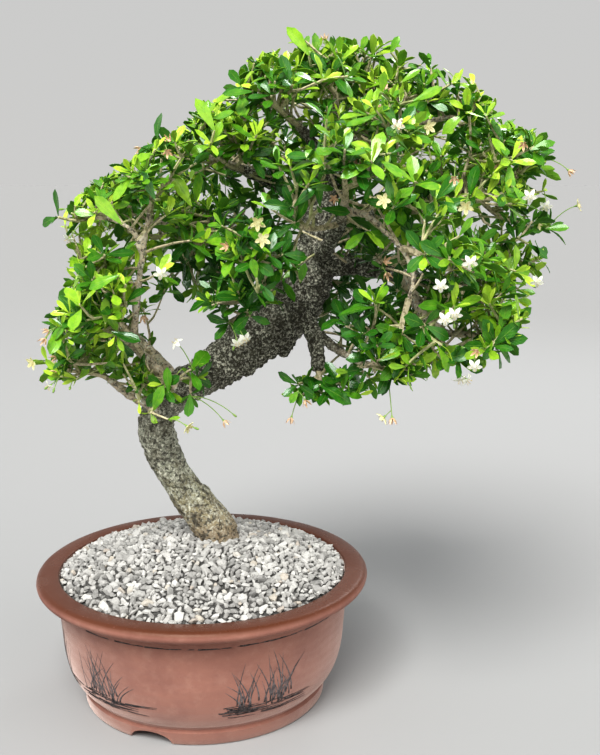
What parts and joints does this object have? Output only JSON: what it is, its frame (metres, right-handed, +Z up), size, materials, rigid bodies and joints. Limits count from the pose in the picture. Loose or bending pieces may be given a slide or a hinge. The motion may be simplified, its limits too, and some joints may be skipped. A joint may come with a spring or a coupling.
{
  "type": "potted bonsai tree",
  "caption": "Flowering broadleaf bonsai with a leaning, forked trunk and a rounded crown, growing in a round shallow clay pot filled with crushed stone.",
  "frame": {"origin": "bottom centre of the bounding box, on the table under the pot", "axes": "+Z up, -Y towards the viewer of the picture, +X to the right"},
  "size_m": [0.3906, 0.294, 0.4975],
  "materials": {
    "clay": "matte unglazed reddish-brown clay with a satin rim",
    "screen": "black plastic mesh",
    "soil": "damp potting mix",
    "gravel": "crushed grey-white stone",
    "bark": "grey-brown bark with lichen",
    "foliage": "glossy leathery leaves and green twigs",
    "blossom": "soft white petals on green stalks"
  },
  "bodies": {
    "root": {"pot": "clay", "drain_screen_1": "screen", "drain_screen_2": "screen", "soil": "soil", "gravel": "gravel", "trunk": "bark", "spray_01": "foliage", "spray_02": "foliage", "spray_03": "foliage", "spray_04": "foliage", "spray_05": "foliage", "spray_06": "foliage", "spray_07": "foliage", "spray_08": "foliage", "spray_09": "foliage", "spray_10": "foliage", "spray_11": "foliage", "spray_12": "foliage", "spray_13": "foliage", "spray_14": "foliage", "spray_15": "foliage", "spray_16": "foliage", "spray_17": "foliage", "spray_18": "foliage", "spray_19": "foliage", "spray_20": "foliage", "spray_21": "foliage", "spray_22": "foliage", "spray_23": "foliage", "spray_24": "foliage", "spray_25": "foliage", "spray_26": "foliage", "spray_27": "foliage", "spray_28": "foliage", "spray_29": "foliage", "spray_30": "foliage", "spray_31": "foliage", "spray_32": "foliage", "spray_33": "foliage", "spray_34": "foliage", "spray_35": "foliage", "spray_36": "foliage", "spray_37": "foliage", "spray_38": "foliage", "spray_39": "foliage", "spray_40": "foliage", "spray_41": "foliage", "spray_42": "foliage", "spray_43": "foliage", "spray_44": "foliage", "flower_cyme_01": "blossom", "flower_cyme_02": "blossom", "flower_cyme_03": "blossom", "flower_cyme_04": "blossom", "flower_cyme_05": "blossom", "flower_cyme_06": "blossom", "flower_cyme_07": "blossom", "flower_cyme_08": "blossom", "flower_cyme_09": "blossom", "flower_cyme_10": "blossom"}
  },
  "joints": []
}
